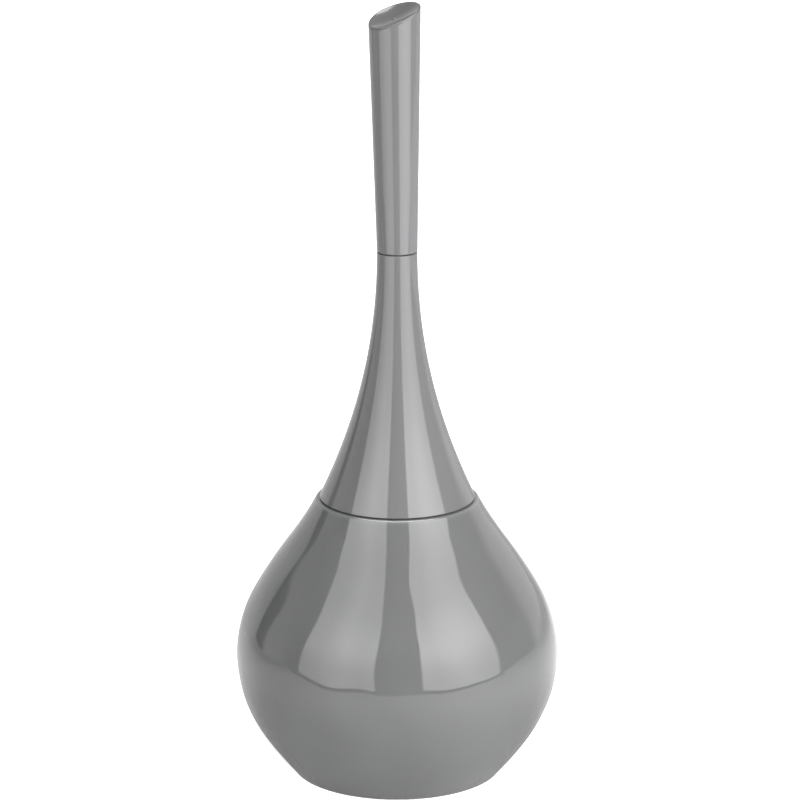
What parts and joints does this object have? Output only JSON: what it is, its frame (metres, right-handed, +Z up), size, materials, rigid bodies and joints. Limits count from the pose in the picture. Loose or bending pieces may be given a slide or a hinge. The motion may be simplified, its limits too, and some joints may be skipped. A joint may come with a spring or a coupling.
{
  "type": "toilet brush and holder",
  "caption": "Drop-shaped glazed ceramic holder with a toilet brush: its hollow cone covers the bowl's mouth and carries a flared handle with a slanted top.",
  "frame": {"origin": "on the surface that the holder stands on, below the centre of its foot", "axes": "+Z up along the brush; +X towards the high side of the handle's slanted top"},
  "size_m": [0.171, 0.171, 0.4157],
  "materials": {
    "glaze": "dark grey gloss glaze, slightly green",
    "grey_plastic": "mid grey moulded plastic with an even gloss",
    "dark_rubber": "dark grey soft rubber",
    "pad_rubber": "fine foamed rubber",
    "steel": "drawn stainless tube and turned plugs",
    "core_plastic": "white moulded polypropylene",
    "bristle": "white nylon filament, cut ends"
  },
  "bodies": {
    "holder": {"holder_bowl": "glaze", "foot_pad_1": "pad_rubber", "foot_pad_2": "pad_rubber", "foot_pad_3": "pad_rubber", "foot_pad_4": "pad_rubber"},
    "seal": {"rim_seal": "dark_rubber"},
    "brush": {"cone_cover": "grey_plastic", "cover_plate": "grey_plastic", "stem_grommet": "dark_rubber", "stem_tube": "steel", "stem_top_plug": "steel", "stem_bottom_plug": "steel"},
    "neck_ring": {"neck_washer": "dark_rubber"},
    "handle": {"handle_shell": "grey_plastic", "handle_socket": "grey_plastic", "handle_cap": "grey_plastic"},
    "head_ring": {"head_washer": "dark_rubber"},
    "head": {"brush_core": "core_plastic", "bristle_row_1": "bristle", "bristle_row_2": "bristle", "bristle_row_3": "bristle", "bristle_row_4": "bristle", "bristle_row_5": "bristle", "bristle_row_6": "bristle", "bristle_row_7": "bristle", "bristle_row_8": "bristle", "bristle_tip": "bristle"}
  },
  "joints": [
    {"name": "brush_lift", "type": "slide", "parent": "holder", "child": "seal", "axis": [0, 0, 1], "range_m": [0, 0.15]},
    {"name": "brush_spin", "type": "hinge", "parent": "seal", "child": "brush", "pos_m": [0, 0, 0.1515], "axis": [0, 0, 1], "continuous": true},
    {"name": "handle_rise", "type": "slide", "parent": "brush", "child": "neck_ring", "axis": [0, 0, 1], "range_m": [0, 0.01]},
    {"name": "handle_unscrew", "type": "hinge", "parent": "neck_ring", "child": "handle", "pos_m": [0, 0, 0.2852], "axis": [0, 0, 1], "range_deg": [0, 1440]},
    {"name": "head_drop", "type": "slide", "parent": "brush", "child": "head_ring", "axis": [0, 0, -1], "range_m": [0, 0.01]},
    {"name": "head_unscrew", "type": "hinge", "parent": "head_ring", "child": "head", "pos_m": [0, 0, 0.1115], "axis": [0, 0, -1], "range_deg": [0, 1440]}
  ],
  "couplings": [
    {"joint": "handle_rise", "follows": "handle_unscrew", "m_per_rad": 0.0003978},
    {"joint": "head_drop", "follows": "head_unscrew", "m_per_rad": 0.0003978}
  ]
}
